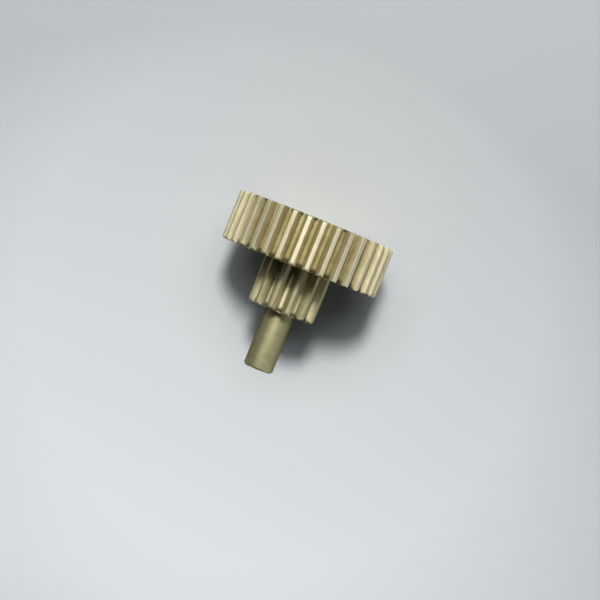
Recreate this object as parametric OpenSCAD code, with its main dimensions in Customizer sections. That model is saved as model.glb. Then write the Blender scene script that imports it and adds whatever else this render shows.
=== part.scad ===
// Compound spur gear: a large wheel and a small pinion carried by one short shaft.
// The gear axis is Y. The shaft's free journal points to -Y, and +Z is up.
// The origin is on the axis, at the shoulder where the journal leaves the pinion.

/* [Teeth] */
// Pressure angle of both gears, in degrees
pressure_angle = 20; // [17.5:0.5:22.5]
// Height of the teeth above the pitch circle, in modules, before any profile shift
addendum = 0.8; // [0.7:0.05:1]
// Share of each gap's floor that the fillets at the teeth's feet take up
foot_rounding = 0.7; // [0.1:0.1:0.9]

/* [Wheel] */
// Module of the wheel, its pitch diameter per tooth
wheel_module = 0.6; // [0.5:0.05:0.8]
// Number of teeth on the wheel
wheel_teeth = 34; // [24:1:60]
// Profile shift of the wheel's teeth, in modules
wheel_shift = 0.2; // [0:0.05:0.3]
// Width of the wheel's toothed face
wheel_width = 6.6; // [3:0.1:12]
// Chamfer at both ends of the wheel's teeth
wheel_chamfer = 0.2; // [0.05:0.05:0.4]

/* [Pinion] */
// Module of the pinion, its pitch diameter per tooth
pinion_module = 0.65; // [0.65:0.05:0.8]
// Number of teeth on the pinion
pinion_teeth = 12; // [12:1:20]
// Profile shift of the pinion's teeth, in modules
pinion_shift = 0.3; // [0.2:0.05:0.45]
// Length of the pinion's teeth
pinion_length = 6.2; // [3:0.1:12]
// Turn of the pinion's teeth from the wheel's about +Y, in degrees
pinion_turn = 10.5; // [-15:0.5:15]
// Chamfer at both ends of the pinion's teeth
pinion_chamfer = 0.15; // [0.05:0.05:0.3]
// Diameter of the turned spigot that the wheel is pressed on
spigot_d = 6; // [5.2:0.1:6.2]

/* [Shaft] */
// Diameter of the free journal
journal_d = 4; // [3.8:0.1:5]
// Length of the free journal, with its chamfer
journal_length = 8.2; // [3:0.1:15]
// Chamfer at the journal's free end
journal_chamfer = 0.25; // [0.1:0.05:0.6]
// Diameter of the thinner seat that is pressed in the pinion
seat_d = 3.5; // [2.5:0.1:3.6]

/* [Hidden] */
$fn = 96;

dedendum = addendum + 0.25;
flank_steps = 5;
foot_steps = 3;
edge_break = 0.2;
cutter_overrun = 0.1;
wheel_back_y = pinion_length + wheel_width;
shoulder_cone = (journal_d - seat_d) / 2;
wheel_colour = [0.62, 0.56, 0.36];
pinion_colour = [0.60, 0.56, 0.42];
shaft_colour = [0.66, 0.63, 0.49];

// A gear is [module, number of teeth, profile shift]
wheel_gear = [wheel_module, wheel_teeth, wheel_shift];
pinion_gear = [pinion_module, pinion_teeth, pinion_shift];

// Radii of a gear's pitch, base, tip and root circles
function pitch_r(g) = g[0] * g[1] / 2;
function base_r(g) = pitch_r(g) * cos(pressure_angle);
function tip_r(g) = pitch_r(g) + (addendum + g[2]) * g[0];
function root_r(g) = pitch_r(g) - (dedendum - g[2]) * g[0];

// Involute function, in degrees
function inv(angle) = tan(angle) * 180 / PI - angle;

// Point at radius r and angle a
function polar(r, a) = [r * cos(a), r * sin(a)];

// Half the angle that a tooth spans at radius r; below the base circle the flank is radial
function half_tooth(g, r) =
    let (at_pitch = (90 + 2 * g[2] * tan(pressure_angle) * 180 / PI) / g[1])
    let (flank = r > base_r(g) ? inv(acos(base_r(g) / r)) : 0)
    at_pitch + inv(pressure_angle) - flank;

// Radius of the fillet at a tooth's foot, from the half width of the gap's floor
function foot_r(g) =
    let (half_gap = 180 / g[1] - half_tooth(g, root_r(g)))
    foot_rounding * root_r(g) * half_gap * PI / 180;

// Radius at which the foot's fillet meets the flank
function foot_end_r(g) = sqrt(pow(root_r(g) + foot_r(g), 2) - pow(foot_r(g), 2));

// The foot's fillet as [radius, angle] pairs, from the root circle up to the flank
function foot_side(g) =
    let (foot = foot_r(g), centre_r = root_r(g) + foot)
    let (end_a = half_tooth(g, foot_end_r(g)))
    let (centre_a = end_a + asin(foot / centre_r))
    let (centre = polar(centre_r, centre_a))
    let (from = centre_a + 180, sweep = end_a + 270 - from)
    [for (i = [0 : foot_steps])
        let (p = centre + polar(foot, from + sweep * i / foot_steps))
        [norm(p), atan2(p[1], p[0])]];

// The involute flank as [radius, angle] pairs, from the foot's fillet to just past the tip circle
function flank_side(g) =
    let (low = foot_end_r(g))
    let (high = tip_r(g) + cutter_overrun * g[0])
    [for (i = [1 : flank_steps])
        let (r = low + (high - low) * i / flank_steps)
        [r, half_tooth(g, r)]];

// Outline of the whole gear; a tooth is centred on angle 0
function gear_outline(g) =
    let (side = concat(foot_side(g), flank_side(g)))
    let (n = len(side))
    [for (k = [0 : g[1] - 1], i = [0 : 2 * n - 1])
        let (p = i < n ? side[i] : side[2 * n - 1 - i])
        let (a = i < n ? -p[1] : p[1])
        polar(p[0], a + k * 360 / g[1])];

// Turned blank with a chamfer on the rim at both ends
module blank(r, width, chamfer) {
    rotate_extrude()
        polygon([
            [0, 0],
            [r - chamfer, 0],
            [r, chamfer],
            [r, width - chamfer],
            [r - chamfer, width],
            [0, width]
        ]);
}

// Straight-cut teeth on a turned blank
module toothed_blank(g, width, chamfer) {
    intersection() {
        linear_extrude(width)
            polygon(gear_outline(g));
        blank(tip_r(g), width, chamfer);
    }
}

// Puts a shape drawn along +Z on the gear axis, starting at height y
module on_axis(y) {
    translate([0, y, 0])
        rotate([-90, 0, 0])
            children();
}

// Wheel, with its bore's two edges broken
module gear_wheel() {
    color(wheel_colour)
        on_axis(pinion_length)
            difference() {
                toothed_blank(wheel_gear, wheel_width, wheel_chamfer);
                translate([0, 0, -1])
                    cylinder(d = spigot_d, h = wheel_width + 2);
                cylinder(d1 = spigot_d + 2 * edge_break, d2 = spigot_d, h = edge_break);
                translate([0, 0, wheel_width - edge_break])
                    cylinder(d1 = spigot_d, d2 = spigot_d + 2 * edge_break, h = edge_break);
            }
}

// Pinion with the spigot that fills the wheel's bore
module pinion() {
    color(pinion_colour)
        on_axis(0)
            difference() {
                union() {
                    rotate([0, 0, pinion_turn])
                        toothed_blank(pinion_gear, pinion_length, pinion_chamfer);
                    translate([0, 0, pinion_length - 1])
                        blank(spigot_d / 2, wheel_width + 1, edge_break);
                }
                translate([0, 0, -1])
                    cylinder(d = seat_d, h = wheel_back_y + 2);
                cylinder(d1 = journal_d, d2 = seat_d, h = shoulder_cone);
            }
}

// Shaft: the seat fills the pinion's bore, and the thicker journal's cone stops in the bore's mouth
module shaft() {
    color(shaft_colour)
        on_axis(-journal_length)
            rotate_extrude()
                polygon([
                    [0, 0],
                    [journal_d / 2 - journal_chamfer, 0],
                    [journal_d / 2, journal_chamfer],
                    [journal_d / 2, journal_length],
                    [seat_d / 2, journal_length + shoulder_cone],
                    [seat_d / 2, journal_length + wheel_back_y - edge_break],
                    [seat_d / 2 - edge_break, journal_length + wheel_back_y],
                    [0, journal_length + wheel_back_y]
                ]);
}

gear_wheel();
pinion();
shaft();
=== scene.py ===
import math
import random

import bmesh
import bpy
from mathutils import Matrix, Vector, noise


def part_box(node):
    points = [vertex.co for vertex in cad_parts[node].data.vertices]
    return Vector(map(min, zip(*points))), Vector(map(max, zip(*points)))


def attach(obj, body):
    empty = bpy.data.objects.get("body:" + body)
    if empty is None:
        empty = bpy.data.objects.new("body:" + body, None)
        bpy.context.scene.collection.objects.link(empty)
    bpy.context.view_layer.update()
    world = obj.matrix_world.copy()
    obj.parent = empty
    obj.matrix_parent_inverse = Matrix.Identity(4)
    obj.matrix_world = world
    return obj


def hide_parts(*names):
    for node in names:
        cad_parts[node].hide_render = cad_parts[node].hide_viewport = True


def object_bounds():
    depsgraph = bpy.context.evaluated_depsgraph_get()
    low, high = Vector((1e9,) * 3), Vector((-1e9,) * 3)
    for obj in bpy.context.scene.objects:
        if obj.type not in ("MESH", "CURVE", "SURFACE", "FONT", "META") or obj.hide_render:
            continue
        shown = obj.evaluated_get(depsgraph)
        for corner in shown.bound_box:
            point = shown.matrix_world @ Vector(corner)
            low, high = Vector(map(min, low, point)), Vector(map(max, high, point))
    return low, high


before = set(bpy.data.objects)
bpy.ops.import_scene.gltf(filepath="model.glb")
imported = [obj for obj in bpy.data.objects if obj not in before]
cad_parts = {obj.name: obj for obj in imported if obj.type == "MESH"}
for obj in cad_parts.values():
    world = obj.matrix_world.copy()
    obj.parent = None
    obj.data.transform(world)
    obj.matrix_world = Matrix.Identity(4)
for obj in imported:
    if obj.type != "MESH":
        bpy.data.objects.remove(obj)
cad_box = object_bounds()

# Compound spur gear on a short shaft. The gear axis is Y, the journal points to -Y, and +Z is up.
# Everything is in metres and in the CAD model's frame.
MM = 0.001

# Teeth, as in the CAD model
WHEEL_MODULE = 0.6 * MM
PINION_MODULE = 0.65 * MM
PRESSURE_ANGLE = math.radians(20)
ADDENDUM = 0.8
DEDENDUM = 1.05
FOOT_ROUNDING = 0.7
WHEEL_TEETH = 34
WHEEL_SHIFT = 0.2
PINION_TEETH = 12
PINION_SHIFT = 0.3
PINION_TURN = math.radians(10.5)
WHEEL_CHAMFER = 0.2 * MM
PINION_CHAMFER = 0.15 * MM

# Bores and shaft, as in the CAD model
SPIGOT_R = 3.0 * MM
JOURNAL_R = 2.0 * MM
SEAT_R = 1.75 * MM
JOURNAL_CHAMFER = 0.25 * MM
EDGE_BREAK = 0.2 * MM

# Fine finish of the machined edges
TIP_EDGE = 0.05 * MM
END_ROUND = 0.03 * MM
CORNER_ROUND = 0.04 * MM
CHAMFER_BLEND = 0.03 * MM
SHARP_ANGLE = math.radians(32)
CIRCLE_STEPS = 128
# Radius of the small flat that closes a turned end on the axis
POLE_R = 0.02 * MM
# Keeps the tips just inside the CAD model's box
INSIDE = 0.001 * MM

# The cutter's marks at a gear's low end: a burr on the end face and a dip in the gaps' floors
WHEEL_BURR = 0.1 * MM
WHEEL_DIP = 0.2 * MM
PINION_BURR = 0.28 * MM
PINION_DIP = 0.12 * MM
BURR_GRAIN = 0.45 * MM
# How far the burr sits inside the gaps' edges, as a share of the dip
BURR_SUNK = 0.6
# The marks are weaker or stronger from tooth to tooth, within these two
MARK_STRENGTH = (0.4, 1.3)
RANDOM_SEED = 11
# Distances from the low end of the extra rings that shape the dip
DIP_RINGS = (0.75 * MM, 0.6 * MM, 0.45 * MM, 0.32 * MM)

# How worn the rings of a toothed wall are, from its high end to its low one
HIGH_END_WEAR = (0, 1, 1, 0.7, 0.5, 0.5, 0.4, 0.2, 0)
LOW_END_WEAR = (0.1, 0.2, 0.3, 0.4, 0.6, 0.8)
BURR_WEAR = (0.6, 0)
LAND_WEAR = 0.6
JOURNAL_END_WEAR = 0.7

# How far from an end the painted shade starts to fade, and how far from it the painted shade is gone
LOW_END_SHADE = (0.1 * MM, 0.8 * MM)
HIGH_END_SHADE = (0.1 * MM, 0.5 * MM)
RIM_SHADE = (0.05 * MM, 0.25 * MM)
# Size of the spots of painted shade in the gaps and on the rim
GAP_SPOTS = 0.9 * MM
RIM_SPOTS = 0.7 * MM
# Share of the painted shade that stays on the burr's crest
CREST_SHADE = 0.6
# The colour of the painted shade: dark colour put in the gaps near the gears' ends, along the low rim,
# on the burr's crest and on the shaft's edges
PAINTED_SHADE_COLOUR = (0.17, 0.145, 0.075)
# How deep the machining marks look, where a shader's bump draws them
MARK_DEPTH = 0.02 * MM

# The journal's end is knocked in by about this much, in patches of this size
END_DENT = 0.05 * MM
DENT_GRAIN = 0.6 * MM

# Where things start and end along the axis
journal_end_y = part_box("shaft")[0].y
shoulder_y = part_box("pinion")[0].y
wheel_front_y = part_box("gear_wheel")[0].y
wheel_back_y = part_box("gear_wheel")[1].y
floor_z = cad_box[0].z


class Gear:
    """The circles of one involute gear, the two ends of its teeth and the cutter's marks on it."""

    def __init__(self, module, teeth, shift, turn, chamfer, ends, burr, dip):
        self.teeth = teeth
        self.turn = turn
        self.chamfer = chamfer
        self.low_y, self.high_y = ends
        self.burr = burr
        self.dip = dip
        pitch_r = module * teeth / 2
        self.base_r = pitch_r * math.cos(PRESSURE_ANGLE)
        self.tip_r = pitch_r + (ADDENDUM + shift) * module - INSIDE
        self.root_r = pitch_r - (DEDENDUM - shift) * module
        half_at_pitch = (math.pi / 2 + 2 * shift * math.tan(PRESSURE_ANGLE)) / teeth
        self.half_at_base = half_at_pitch + involute(PRESSURE_ANGLE)
        rng = random.Random(RANDOM_SEED + teeth)
        self.strength = [rng.uniform(*MARK_STRENGTH) for _ in range(teeth)]

    def half_tooth(self, r):
        """Half the angle that a tooth spans at radius r."""
        if r <= self.base_r:
            return self.half_at_base
        return self.half_at_base - involute(math.acos(self.base_r / r))

    def depth(self, point):
        """How deep a point of the outline lies: 0 at the tips and 1 at the root circle."""
        return (self.tip_r - point.length) / (self.tip_r - self.root_r)


def involute(angle):
    return math.tan(angle) - angle


def polar(r, a):
    return Vector((r * math.cos(a), r * math.sin(a)))


def foot_fillet(gear, steps=6):
    """The fillet at a tooth's foot, from the flank down to the root circle, as flat points."""
    half_gap = math.pi / gear.teeth - gear.half_tooth(gear.root_r)
    foot = FOOT_ROUNDING * gear.root_r * half_gap
    end_r = math.sqrt((gear.root_r + foot) ** 2 - foot ** 2)
    end_a = gear.half_tooth(end_r)
    centre_a = end_a + math.asin(foot / (gear.root_r + foot))
    centre = polar(gear.root_r + foot, centre_a)
    start, stop = end_a - math.pi / 2, centre_a - math.pi
    return [centre + polar(foot, start + (stop - start) * i / steps) for i in range(steps + 1)]


def bend(p0, p1, p2, steps):
    """Points of a soft corner at p1, from p0 to p2."""
    points = []
    for i in range(steps + 1):
        t = i / steps
        points.append(p0 * (1 - t) ** 2 + p1 * 2 * t * (1 - t) + p2 * t * t)
    return points


def tooth_side(gear, flank_steps=9, land_steps=2):
    """Half a tooth as flat points, from the middle of its tip down to the middle of the gap."""
    tip_a = gear.half_tooth(gear.tip_r)
    edge_a = TIP_EDGE / gear.tip_r
    low_corner_r = gear.tip_r - TIP_EDGE
    land = [polar(gear.tip_r, (tip_a - edge_a) * i / land_steps) for i in range(land_steps)]
    corner = bend(polar(gear.tip_r, tip_a - edge_a), polar(gear.tip_r, tip_a),
                  polar(low_corner_r, gear.half_tooth(low_corner_r)), 4)
    fillet = foot_fillet(gear)
    end_r = fillet[0].length
    flank = []
    for i in range(1, flank_steps):
        r = low_corner_r + (end_r - low_corner_r) * i / flank_steps
        flank.append(polar(r, gear.half_tooth(r)))
    floor_a = math.atan2(fillet[-1].y, fillet[-1].x)
    gap_a = math.pi / gear.teeth
    floor = [polar(gear.root_r, floor_a + (gap_a - floor_a) * i / 2) for i in (1, 2)]
    return land + corner + flank + fillet + floor


def gear_outline(gear):
    """The whole outline as [point, outward normal, tooth number] rows."""
    side = tooth_side(gear)
    mirrored = [Vector((p.x, -p.y)) for p in reversed(side[1:-1])]
    tooth = mirrored + side
    points, owner = [], []
    for k in range(gear.teeth):
        a = k * 2 * math.pi / gear.teeth + gear.turn
        for p in tooth:
            points.append(Vector((p.x * math.cos(a) - p.y * math.sin(a),
                                  p.x * math.sin(a) + p.y * math.cos(a))))
            owner.append(k)
    rows = []
    for i, p in enumerate(points):
        along = points[(i + 1) % len(points)] - points[i - 1]
        rows.append((p, Vector((along.y, -along.x)).normalized(), owner[i]))
    return rows


def in_frame(p, y):
    """A flat point of a section at height y, in the row frame."""
    return Vector((p.x, y, -p.y))


def add_loop(bm, corners):
    return [bm.verts.new(c) for c in corners]


def join_loops(bm, loops, wear, values):
    """Walls between neighbouring loops; values says how worn each loop's edge is."""
    for loop, value in zip(loops, values):
        for v in loop:
            v[wear] = value
    for a, b in zip(loops, loops[1:]):
        n = len(a)
        for i in range(n):
            bm.faces.new((a[i], a[(i + 1) % n], b[(i + 1) % n], b[i]))


def cap(bm, outer, inner):
    """The end face between two loops that walls already meet."""
    edges = [bm.edges.get((v, loop[i - 1])) for loop in (outer, inner) for i, v in enumerate(loop)]
    bmesh.ops.triangle_fill(bm, edges=edges, use_beauty=True)


def circle(r, steps=CIRCLE_STEPS):
    return [polar(r, 2 * math.pi * i / steps) for i in range(steps)]


def soft_profile(corners, radius=CORNER_ROUND, steps=3):
    """A line of (radius, y) corners with each inner corner rounded a little."""
    corners = [Vector(c) for c in corners]
    points = [corners[0]]
    for before, corner, after in zip(corners, corners[1:], corners[2:]):
        reach = min(radius, (before - corner).length / 2, (after - corner).length / 2)
        start = corner + (before - corner).normalized() * reach
        end = corner + (after - corner).normalized() * reach
        points += bend(start, corner, end, steps)
    return points + [corners[-1]]


def revolve(bm, profile, wear):
    """Loops of a turned, unworn surface along a line of (radius, y) points, and its walls."""
    loops = [add_loop(bm, [in_frame(p, y) for p in circle(r)]) for r, y in profile]
    join_loops(bm, loops, wear, [0.0] * len(loops))
    return loops


def smooth(low, high, value):
    """0 up to low, 1 from high on, and a soft step between them."""
    t = min(1.0, max(0.0, (value - low) / (high - low)))
    return t * t * (3 - 2 * t)


def burr_height(gear, point, tooth):
    """How far the cutter's burr stands out of the end face at one point of the outline."""
    grain = noise.noise(Vector((point.x, point.y, 0)) / BURR_GRAIN)
    share = min(1.0, max(0.0, gear.depth(point) * 3)) * (0.55 + 0.9 * grain)
    return gear.burr * max(0.0, share) * gear.strength[tooth]


def dip_depth(gear, point, tooth, from_end):
    """How far the gap's floor dips at this distance from the low end."""
    reach = gear.dip * (2.2 + 0.8 * gear.strength[tooth])
    return gear.dip * smooth(0.45, 0.9, gear.depth(point)) * (1 - smooth(0.0, 1.0, from_end / reach))


def held_within(point, limit):
    """The point, or where it is pulled in to when it lies outside the circle of radius limit."""
    return point.normalized() * limit if point.length > limit else point


def chamfer_limit(gear, from_end):
    """The blank's radius at this distance from an end: a chamfer that blends into the tips."""
    if from_end > gear.chamfer * 2:
        return gear.tip_r
    c = gear.chamfer - from_end
    return gear.tip_r - 0.5 * (c + math.sqrt(c * c + CHAMFER_BLEND * CHAMFER_BLEND))


def end_rings(gear):
    """Distance from the end and inset of each ring that rounds the end off and chamfers it."""
    c = gear.chamfer
    rounding = [(0.0, END_ROUND * 2.2), (0.0, END_ROUND),
                (END_ROUND * 0.3, END_ROUND * 0.3), (END_ROUND, 0.0)]
    return rounding + [(c * share, 0.0) for share in (0.5, 0.85, 1, 1.15, 2.5)]


def wall_ring(bm, gear, rows, y, from_end, inset):
    """One loop of the teeth's wall at height y."""
    limit = chamfer_limit(gear, from_end)
    corners = []
    for p, n, tooth in rows:
        q = p - n * (inset + dip_depth(gear, p, tooth, y - gear.low_y))
        corners.append(in_frame(held_within(q, limit), y))
    return add_loop(bm, corners)


def burr_rings(bm, gear, rows):
    """The burr's crest, and the loop behind it where the low end's face starts."""
    limit = gear.tip_r - gear.chamfer
    crest, inner = [], []
    for p, n, tooth in rows:
        sunk = BURR_SUNK * dip_depth(gear, p, tooth, 0.0)
        top = held_within(p - n * (END_ROUND * 0.6 + sunk), limit)
        back = held_within(p - n * (END_ROUND * 2.2 + sunk), limit)
        crest.append(in_frame(top, gear.low_y - burr_height(gear, p, tooth)))
        inner.append(in_frame(back, gear.low_y))
    return [add_loop(bm, crest), add_loop(bm, inner)]


def wear_lands(loops, gear, wear):
    """Wears the lands on the teeth's tips."""
    land = gear.tip_r - TIP_EDGE * 0.6
    for loop in loops:
        for v in loop:
            if math.hypot(v.co.x, v.co.z) > land:
                v[wear] = max(v[wear], LAND_WEAR)


def paint_end_shade(loops, gear, rows, painted_shade):
    """Painted shade: dark colour in the gaps near both ends and along the low rim. The last loop is the
    burr's crest.
    """
    for loop in loops:
        for v, (p, _, tooth) in zip(loop, rows):
            from_low, from_high = v.co.y - gear.low_y, gear.high_y - v.co.y
            spots = smooth(0.7, 1.1, gear.strength[tooth] + noise.noise(v.co / GAP_SPOTS))
            near_end = max(1 - smooth(*LOW_END_SHADE, from_low),
                           (1 - smooth(*HIGH_END_SHADE, from_high)) * spots)
            rim = 1 - smooth(*RIM_SHADE, from_low)
            rim *= smooth(-0.15, 0.35, noise.noise(v.co / RIM_SPOTS))
            v[painted_shade] = max(smooth(0.35, 0.8, gear.depth(p)) * near_end, rim)
    for v in loops[-1]:
        v[painted_shade] *= CREST_SHADE


def toothed_wall(bm, gear, wear, painted_shade):
    """The teeth's outer wall with chamfered, softened ends. Returns its two end loops."""
    rows = gear_outline(gear)
    ends = end_rings(gear)
    past_chamfer = math.inf
    high = [wall_ring(bm, gear, rows, gear.high_y - d, d, inset) for d, inset in ends]
    dips = [wall_ring(bm, gear, rows, gear.low_y + d, past_chamfer, 0.0) for d in DIP_RINGS]
    low = [wall_ring(bm, gear, rows, gear.low_y + d, d, inset) for d, inset in reversed(ends[2:-1])]
    loops = high + dips + low + burr_rings(bm, gear, rows)
    join_loops(bm, loops, wear, [*HIGH_END_WEAR, *[0] * len(dips), *LOW_END_WEAR, *BURR_WEAR])
    wear_lands(loops[1:-1], gear, wear)
    paint_end_shade(loops[1:-1], gear, rows, painted_shade)
    return loops[0], loops[-1]


def finish_mesh(name, bm, material, node):
    """Makes the piece, shades it smooth between its sharp edges, and puts it in its node's place."""
    bmesh.ops.remove_doubles(bm, verts=bm.verts, dist=1e-8)
    bmesh.ops.recalc_face_normals(bm, faces=bm.faces)
    mesh = bpy.data.meshes.new(name)
    bm.to_mesh(mesh)
    bm.free()
    mesh.set_sharp_from_angle(angle=SHARP_ANGLE)
    mesh.materials.append(material)
    piece = bpy.data.objects.new(name, mesh)
    bpy.context.scene.collection.objects.link(piece)
    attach(piece, "root")
    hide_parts(node)
    return piece


def make_toothed(gear, turned, name, material, node):
    """A piece with teeth: their wall, the turned surface inside or behind them, and two flat ends."""
    bm = bmesh.new()
    wear = bm.verts.layers.float.new("wear")
    # A per-point layer that carries the painted shade near the gears' ends
    painted_shade = bm.verts.layers.float.new("painted_shade")
    high, low = toothed_wall(bm, gear, wear, painted_shade)
    loops = revolve(bm, soft_profile(turned), wear)
    cap(bm, high, loops[0])
    cap(bm, low, loops[-1])
    return finish_mesh(name, bm, material, node)


def make_wheel(gear, material):
    bore = [
        (SPIGOT_R + EDGE_BREAK + CORNER_ROUND, wheel_back_y),
        (SPIGOT_R + EDGE_BREAK, wheel_back_y),
        (SPIGOT_R, wheel_back_y - EDGE_BREAK),
        (SPIGOT_R, wheel_front_y + EDGE_BREAK),
        (SPIGOT_R + EDGE_BREAK, wheel_front_y),
        (SPIGOT_R + EDGE_BREAK + CORNER_ROUND, wheel_front_y),
    ]
    return make_toothed(gear, bore, "toothed_wheel", material, "gear_wheel")


def make_pinion(gear, material):
    spigot_and_bore = [
        (SPIGOT_R, wheel_front_y),
        (SPIGOT_R, wheel_back_y - EDGE_BREAK),
        (SPIGOT_R - EDGE_BREAK, wheel_back_y),
        (SEAT_R + CORNER_ROUND, wheel_back_y),
        (SEAT_R, wheel_back_y - CORNER_ROUND),
        (SEAT_R, shoulder_y + JOURNAL_R - SEAT_R),
        (JOURNAL_R, shoulder_y),
        (JOURNAL_R + CORNER_ROUND, shoulder_y),
    ]
    return make_toothed(gear, spigot_and_bore, "toothed_pinion", material, "pinion")


def knock_journal_end(bm, wear):
    """Knocks the edge of the journal's free end in a little, unevenly, and wears it."""
    for v in bm.verts:
        near_end = v.co.y - journal_end_y < JOURNAL_CHAMFER * 1.6
        if near_end and math.hypot(v.co.x, v.co.z) > 0.5 * JOURNAL_R:
            grain = noise.noise(Vector((v.co.x, 0, v.co.z)) / DENT_GRAIN)
            v.co.y += max(0.0, END_DENT * (grain + 0.3))
            v[wear] = JOURNAL_END_WEAR


def make_shaft(material):
    bm = bmesh.new()
    wear = bm.verts.layers.float.new("wear")
    profile = soft_profile([
        (POLE_R, journal_end_y),
        (JOURNAL_R - JOURNAL_CHAMFER, journal_end_y),
        (JOURNAL_R, journal_end_y + JOURNAL_CHAMFER),
        (JOURNAL_R, shoulder_y),
        (SEAT_R, shoulder_y + JOURNAL_R - SEAT_R),
        (SEAT_R, wheel_back_y - EDGE_BREAK),
        (SEAT_R - EDGE_BREAK, wheel_back_y),
        (POLE_R, wheel_back_y),
    ])
    loops = revolve(bm, profile, wear)
    bm.faces.new(loops[0])
    bm.faces.new(loops[-1])
    knock_journal_end(bm, wear)
    return finish_mesh("turned_shaft", bm, material, "shaft")


class Nodes:
    """Short ways to add and link shader nodes."""

    def __init__(self, material):
        material.use_nodes = True
        self.tree = material.node_tree
        self.bsdf = self.tree.nodes["Principled BSDF"]

    def add(self, kind, settings=None, **inputs):
        node = self.tree.nodes.new(kind)
        for key, value in (settings or {}).items():
            setattr(node, key, value)
        for key, value in inputs.items():
            self.plug(node, key.replace("_", " "), value)
        return node

    def plug(self, node, key, value):
        socket = node.inputs[int(key)] if key.isdigit() else node.inputs[key]
        if isinstance(value, bpy.types.NodeSocket):
            self.tree.links.new(value, socket)
        else:
            socket.default_value = value

    def math(self, operation, a, b=0.0, clamp=False):
        node = self.tree.nodes.new("ShaderNodeMath")
        node.operation = operation
        node.use_clamp = clamp
        self.plug(node, "0", a)
        self.plug(node, "1", b)
        return node.outputs[0]

    def span(self, value, low, high, to_low=0.0, to_high=1.0):
        node = self.add("ShaderNodeMapRange", {"clamp": True})
        for key, v in (("Value", value), ("From Min", low), ("From Max", high),
                       ("To Min", to_low), ("To Max", to_high)):
            self.plug(node, key, v)
        return node.outputs["Result"]

    def plus(self, a, b):
        """a and b added, and held between 0 and 1."""
        return self.math("ADD", a, b, clamp=True)

    def from_axis(self, x, z):
        """Distance from the gear axis."""
        squares = self.math("ADD", self.math("MULTIPLY", x, x), self.math("MULTIPLY", z, z))
        return self.math("SQRT", squares)

    def mix(self, factor, a, b):
        """Colour between a and b, each given as three numbers or a socket."""
        node = self.add("ShaderNodeMix", {"data_type": "RGBA"})
        self.plug(node, "0", factor)
        for key, value in (("6", a), ("7", b)):
            self.plug(node, key, (*value, 1) if isinstance(value, tuple) else value)
        return node.outputs[2]

    def blend(self, factor, a, b):
        """Number between a and b."""
        node = self.add("ShaderNodeMix", {"data_type": "FLOAT"}, **{"0": factor, "2": a, "3": b})
        return node.outputs[0]

    def place(self):
        """Where a point is, in metres."""
        return self.add("ShaderNodeTexCoord").outputs["Object"]

    def place_in_mm(self):
        settings = {"operation": "SCALE"}
        node = self.add("ShaderNodeVectorMath", settings, **{"0": self.place(), "Scale": 1 / MM})
        return node.outputs[0]

    def split(self, vector):
        return self.add("ShaderNodeSeparateXYZ", **{"0": vector}).outputs

    def join(self, x, y, z):
        return self.add("ShaderNodeCombineXYZ", X=x, Y=y, Z=z).outputs[0]

    def distance(self, place, point):
        settings = {"operation": "DISTANCE"}
        return self.add("ShaderNodeVectorMath", settings, **{"0": place, "1": point}).outputs["Value"]

    def attribute(self, name):
        return self.add("ShaderNodeAttribute", {"attribute_name": name}).outputs["Fac"]

    def noise(self, vector, scale, detail, rough):
        inputs = {"Vector": vector, "Scale": scale, "Detail": detail, "Roughness": rough}
        return self.add("ShaderNodeTexNoise", **inputs).outputs["Fac"]

    def bump(self, strength, height):
        inputs = {"Strength": strength, "Distance": MARK_DEPTH, "Height": height}
        self.plug(self.bsdf, "Normal", self.add("ShaderNodeBump", **inputs).outputs[0])


def brass(name, bright, tarnish, gear, clean, rough):
    """Machined brass: streaks along the teeth, turning marks on the ends, tarnish where it isn't clean.

    clean is how clean the metal is at the root circle and at the tips, and rough is how rough it is
    where it is clean and where it is tarnished.
    """
    material = bpy.data.materials.new(name)
    n = Nodes(material)
    place = n.place_in_mm()
    x, y, z = n.split(place)
    radius = n.from_axis(x, z)
    facing_y = n.split(n.add("ShaderNodeNewGeometry").outputs["Normal"])[1]
    on_end = n.span(n.math("ABSOLUTE", facing_y), 0.8, 0.95)

    streaks = n.noise(n.join(x, n.math("MULTIPLY", y, 0.07), z), 7.0, 5.0, 0.7)
    turning = n.noise(n.join(radius, n.math("MULTIPLY", y, 0.2), 0.0), 9.0, 4.0, 0.75)
    marks = n.blend(on_end, streaks, turning)
    patches = n.noise(place, 0.55, 5.0, 0.65)
    specks = n.noise(place, 14.0, 3.0, 0.5)

    cleanness = n.span(radius, gear.root_r / MM, gear.tip_r / MM, *clean)
    cleanness = n.plus(cleanness, n.math("MULTIPLY", n.attribute("wear"), 0.25))
    cleanness = n.plus(cleanness, n.span(marks, 0.3, 0.7, -0.18, 0.18))
    cleanness = n.plus(cleanness, n.span(patches, 0.35, 0.65, -0.15, 0.15))
    cleanness = n.plus(cleanness, n.math("MULTIPLY", on_end, -0.15))
    # Painted shade: the per-point layer darkens the colour in the gaps near the ends, along the low rim
    # and on the burr's crest, and makes it rougher there
    painted_shade = n.attribute("painted_shade")
    shade_cover = n.math("MULTIPLY", painted_shade, n.span(specks, 0.35, 0.6, 0.5, 0.9))
    n.plug(n.bsdf, "Base Color", n.mix(shade_cover, n.mix(cleanness, tarnish, bright), PAINTED_SHADE_COLOUR))
    n.bsdf.inputs["Metallic"].default_value = 0.9

    clean_rough, tarnished_rough = rough
    roughness = n.span(cleanness, 0.0, 1.0, tarnished_rough, clean_rough)
    roughness = n.math("ADD", roughness, n.span(specks, 0.3, 0.7, -0.04, 0.04))
    n.plug(n.bsdf, "Roughness", n.plus(roughness, n.math("MULTIPLY", painted_shade, 0.3)))
    n.bump(0.35, n.math("ADD", marks, n.math("MULTIPLY", specks, 0.3)))
    return material


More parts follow.
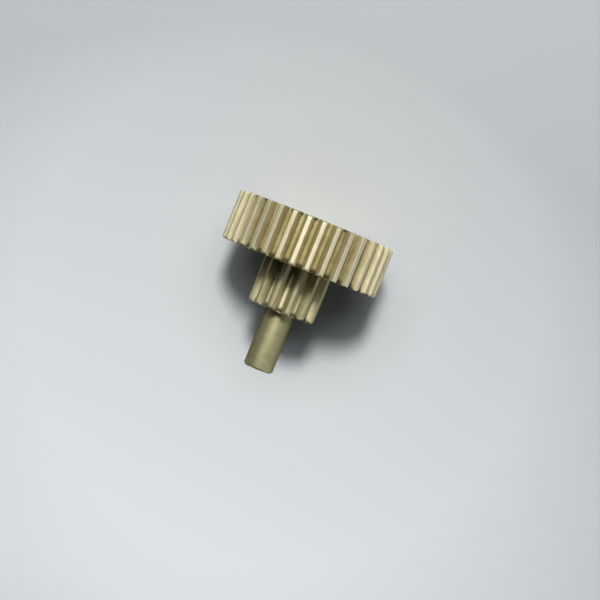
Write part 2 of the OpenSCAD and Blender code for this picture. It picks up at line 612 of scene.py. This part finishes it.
def turned_brass(name, bright, tarnish, rough):
    """Turned brass: fine marks round the shaft, and painted shade that darkens it where it turns away
    from the eye.
    """
    material = bpy.data.materials.new(name)
    n = Nodes(material)
    place = n.place_in_mm()
    x, y, z = n.split(place)
    marks = n.noise(n.join(n.math("MULTIPLY", x, 0.06), y, n.from_axis(x, z)), 8.0, 5.0, 0.75)
    patches = n.noise(place, 0.7, 5.0, 0.7)
    specks = n.noise(place, 12.0, 3.0, 0.5)
    worn = n.attribute("wear")

    cleanness = n.plus(n.span(patches, 0.3, 0.7, 0.25, 0.8), n.span(marks, 0.3, 0.7, -0.25, 0.25))
    cleanness = n.plus(cleanness, n.math("MULTIPLY", worn, 0.3))
    # Painted shade: the sides that turn away from the eye are darkened towards the shade colour, less
    # where the metal is worn
    facing = n.add("ShaderNodeLayerWeight", Blend=0.5).outputs["Facing"]
    painted_edge_shade = n.math("MULTIPLY", n.span(facing, 0.25, 0.75, 0.0, 0.8), n.math("SUBTRACT", 1.0, worn))
    n.plug(n.bsdf, "Base Color", n.mix(painted_edge_shade, n.mix(cleanness, tarnish, bright), PAINTED_SHADE_COLOUR))
    n.bsdf.inputs["Metallic"].default_value = 1.0
    n.bsdf.inputs["Specular Tint"].default_value = (0.18, 0.175, 0.15, 1)

    roughness = n.span(cleanness, 0.0, 1.0, rough + 0.08, rough - 0.05)
    roughness = n.math("ADD", roughness, n.span(specks, 0.3, 0.7, -0.04, 0.04))
    n.plug(n.bsdf, "Roughness", roughness)
    n.bump(0.4, marks)
    return material


# Camera, above the gear and looking almost straight down on it
CAMERA_HEIGHT = 184 * MM
CAMERA_ROLL = math.radians(22)
LENS = 84.0
SENSOR = 36.0
camera_y = wheel_front_y + 0.9 * MM
aim = Vector((1.8 * MM, camera_y - 4.8 * MM, 0.0))

# Floor with painted light: paler towards the front and darker far out from the gear
FLOOR_HALF = 2.5
FLOOR_DARK = (0.55, 0.575, 0.585)
FLOOR_PALE = (0.89, 0.91, 0.92)
DARK_FROM_Y = 40 * MM
PALE_FROM_Y = -45 * MM
# Just behind the wheel the floor has painted shade, which offsets the light that the wheel's back face
# throws on it there
GLOW_Y = 14 * MM

# Lights; a light is [distance from the origin, width and height, watts]
KEY_DIRECTION = (-0.12, math.tan(math.radians(25.5)), 1)
KEY_COLOUR = (1.0, 0.99, 0.975)
KEY = (1.5, (0.28, 0.28), 10.4)
SOFT_KEY = (1.5, (1.5, 0.9), 6.3)
FILL_DIRECTION = (0.85, -0.65, 0.45)
FILL_COLOUR = (0.94, 0.97, 1.0)
FILL = (0.24, (0.10, 0.10), 0.12)

# The studio round the gear, as [how far up, colour], and as the camera sees it
WALLS = (0.12, (0.27, 0.29, 0.32))
UPPER_WALLS = (0.32, (0.020, 0.030, 0.050))
CEILING = (1.0, (0.008, 0.013, 0.023))
BACKDROP = (0.60, 0.62, 0.63)


def add_camera():
    camera = bpy.data.cameras.new("camera")
    camera.lens = LENS
    camera.sensor_width = SENSOR
    obj = bpy.data.objects.new("camera", camera)
    bpy.context.scene.collection.objects.link(obj)
    eye = Vector((0, camera_y, CAMERA_HEIGHT))
    up = Vector((-math.sin(CAMERA_ROLL), math.cos(CAMERA_ROLL), 0))
    back = (eye - aim).normalized()
    right = up.cross(back).normalized()
    rotation = Matrix((right, back.cross(right), back)).transposed()
    obj.matrix_world = Matrix.Translation(eye) @ rotation.to_4x4()
    bpy.context.scene.camera = obj


def add_floor():
    mesh = bpy.data.meshes.new("floor")
    signs = ((-1, -1), (1, -1), (1, 1), (-1, 1))
    mesh.from_pydata([(x * FLOOR_HALF, y * FLOOR_HALF, floor_z) for x, y in signs], [], [(0, 1, 2, 3)])
    floor = bpy.data.objects.new("floor", mesh)
    bpy.context.scene.collection.objects.link(floor)
    mesh.materials.append(pale_floor())


def pale_floor():
    material = bpy.data.materials.new("pale_floor")
    n = Nodes(material)
    place = n.place()
    # Painted light: the floor's colour is paler towards the front, darker far out, and darker just
    # behind the wheel
    painted_light_to_front = n.span(n.split(place)[1], DARK_FROM_Y, PALE_FROM_Y)
    painted_falloff = n.span(n.distance(place, (0, 0, 0)), 38 * MM, 60 * MM, 0.0, 0.35)
    painted_shade_behind_wheel = n.span(n.distance(place, (0, GLOW_Y, floor_z)), 2 * MM, 15 * MM, 0.17, 0.0)
    painted_floor_light = n.math("SUBTRACT", painted_light_to_front, painted_falloff, clamp=True)
    painted_floor_light = n.math("SUBTRACT", painted_floor_light, painted_shade_behind_wheel, clamp=True)
    n.plug(n.bsdf, "Base Color", n.mix(painted_floor_light, FLOOR_DARK, FLOOR_PALE))
    n.bsdf.inputs["Roughness"].default_value = 0.55
    return material


def add_light(name, direction, colour, distance, size, power):
    light = bpy.data.lights.new(name, "AREA")
    light.shape = "ELLIPSE"
    light.size, light.size_y = size
    light.energy = power
    light.color = colour
    obj = bpy.data.objects.new(name, light)
    bpy.context.scene.collection.objects.link(obj)
    direction = Vector(direction).normalized()
    obj.location = direction * distance
    obj.rotation_euler = direction.to_track_quat("Z", "Y").to_euler()
    return obj


def collected(name, pieces):
    group = bpy.data.collections.new(name)
    for piece in pieces:
        group.objects.link(piece)
    return group


def add_lights(wheel, pinion, shaft):
    """A key light with a soft one round it, and a small fill from the right.

    On a flat floor the shaft's shadow would lie apart from the shaft, so the keys leave it out.
    """
    shadow_casters = collected("keys_cast_shadows_of", (wheel, pinion))
    for name, settings in (("key", KEY), ("soft_key", SOFT_KEY)):
        light = add_light(name, KEY_DIRECTION, KEY_COLOUR, *settings)
        light.light_linking.blocker_collection = shadow_casters
    fill = add_light("fill", FILL_DIRECTION, FILL_COLOUR, *FILL)
    fill.light_linking.receiver_collection = collected("fill_lights", (wheel, pinion, shaft))


def add_world():
    """Pale studio: brighter walls round the gear, and dim overhead, where the key light is."""
    world = bpy.data.worlds.new("studio")
    bpy.context.scene.world = world
    world.use_nodes = True
    tree = world.node_tree
    background = tree.nodes["Background"]
    coords = tree.nodes.new("ShaderNodeTexCoord")
    split = tree.nodes.new("ShaderNodeSeparateXYZ")
    ramp = tree.nodes.new("ShaderNodeValToRGB")
    tree.links.new(coords.outputs["Generated"], split.inputs[0])
    tree.links.new(split.outputs[2], ramp.inputs[0])
    tree.links.new(ramp.outputs[0], background.inputs["Color"])
    stops = ramp.color_ramp.elements
    stops.new(UPPER_WALLS[0])
    for stop, (height, colour) in zip(stops, (WALLS, UPPER_WALLS, CEILING)):
        stop.position, stop.color = height, (*colour, 1)
    seen = tree.nodes.new("ShaderNodeBackground")
    seen.inputs["Color"].default_value = (*BACKDROP, 1)
    choice = tree.nodes.new("ShaderNodeMixShader")
    path = tree.nodes.new("ShaderNodeLightPath")
    tree.links.new(path.outputs["Is Camera Ray"], choice.inputs[0])
    tree.links.new(background.outputs[0], choice.inputs[1])
    tree.links.new(seen.outputs[0], choice.inputs[2])
    tree.links.new(choice.outputs[0], tree.nodes["World Output"].inputs[0])


def set_colour():
    view = bpy.context.scene.view_settings
    view.view_transform = "Standard"
    view.look = "High Contrast"


wheel_gear = Gear(WHEEL_MODULE, WHEEL_TEETH, WHEEL_SHIFT, 0.0, WHEEL_CHAMFER,
                  (wheel_front_y, wheel_back_y), WHEEL_BURR, WHEEL_DIP)
pinion_gear = Gear(PINION_MODULE, PINION_TEETH, PINION_SHIFT, PINION_TURN, PINION_CHAMFER,
                   (shoulder_y, wheel_front_y), PINION_BURR, PINION_DIP)
wheel_brass = brass("wheel_brass", (0.775, 0.725, 0.55), (0.495, 0.44, 0.245),
                    wheel_gear, clean=(0.15, 0.85), rough=(0.66, 0.76))
# The pinion's gap floors are cleaner, brighter and smoother than its tips. Their brighter colour is a
# painted highlight along the gap floors.
pinion_brass = brass("pinion_brass", (0.67, 0.63, 0.46), (0.50, 0.46, 0.285),
                     pinion_gear, clean=(0.95, 0.25), rough=(0.50, 0.72))
shaft_brass = turned_brass("shaft_brass", (0.58, 0.55, 0.37), (0.41, 0.38, 0.235), rough=0.66)

wheel = make_wheel(wheel_gear, wheel_brass)
pinion = make_pinion(pinion_gear, pinion_brass)
shaft = make_shaft(shaft_brass)
add_floor()
add_camera()
add_world()
add_lights(wheel, pinion, shaft)
set_colour()
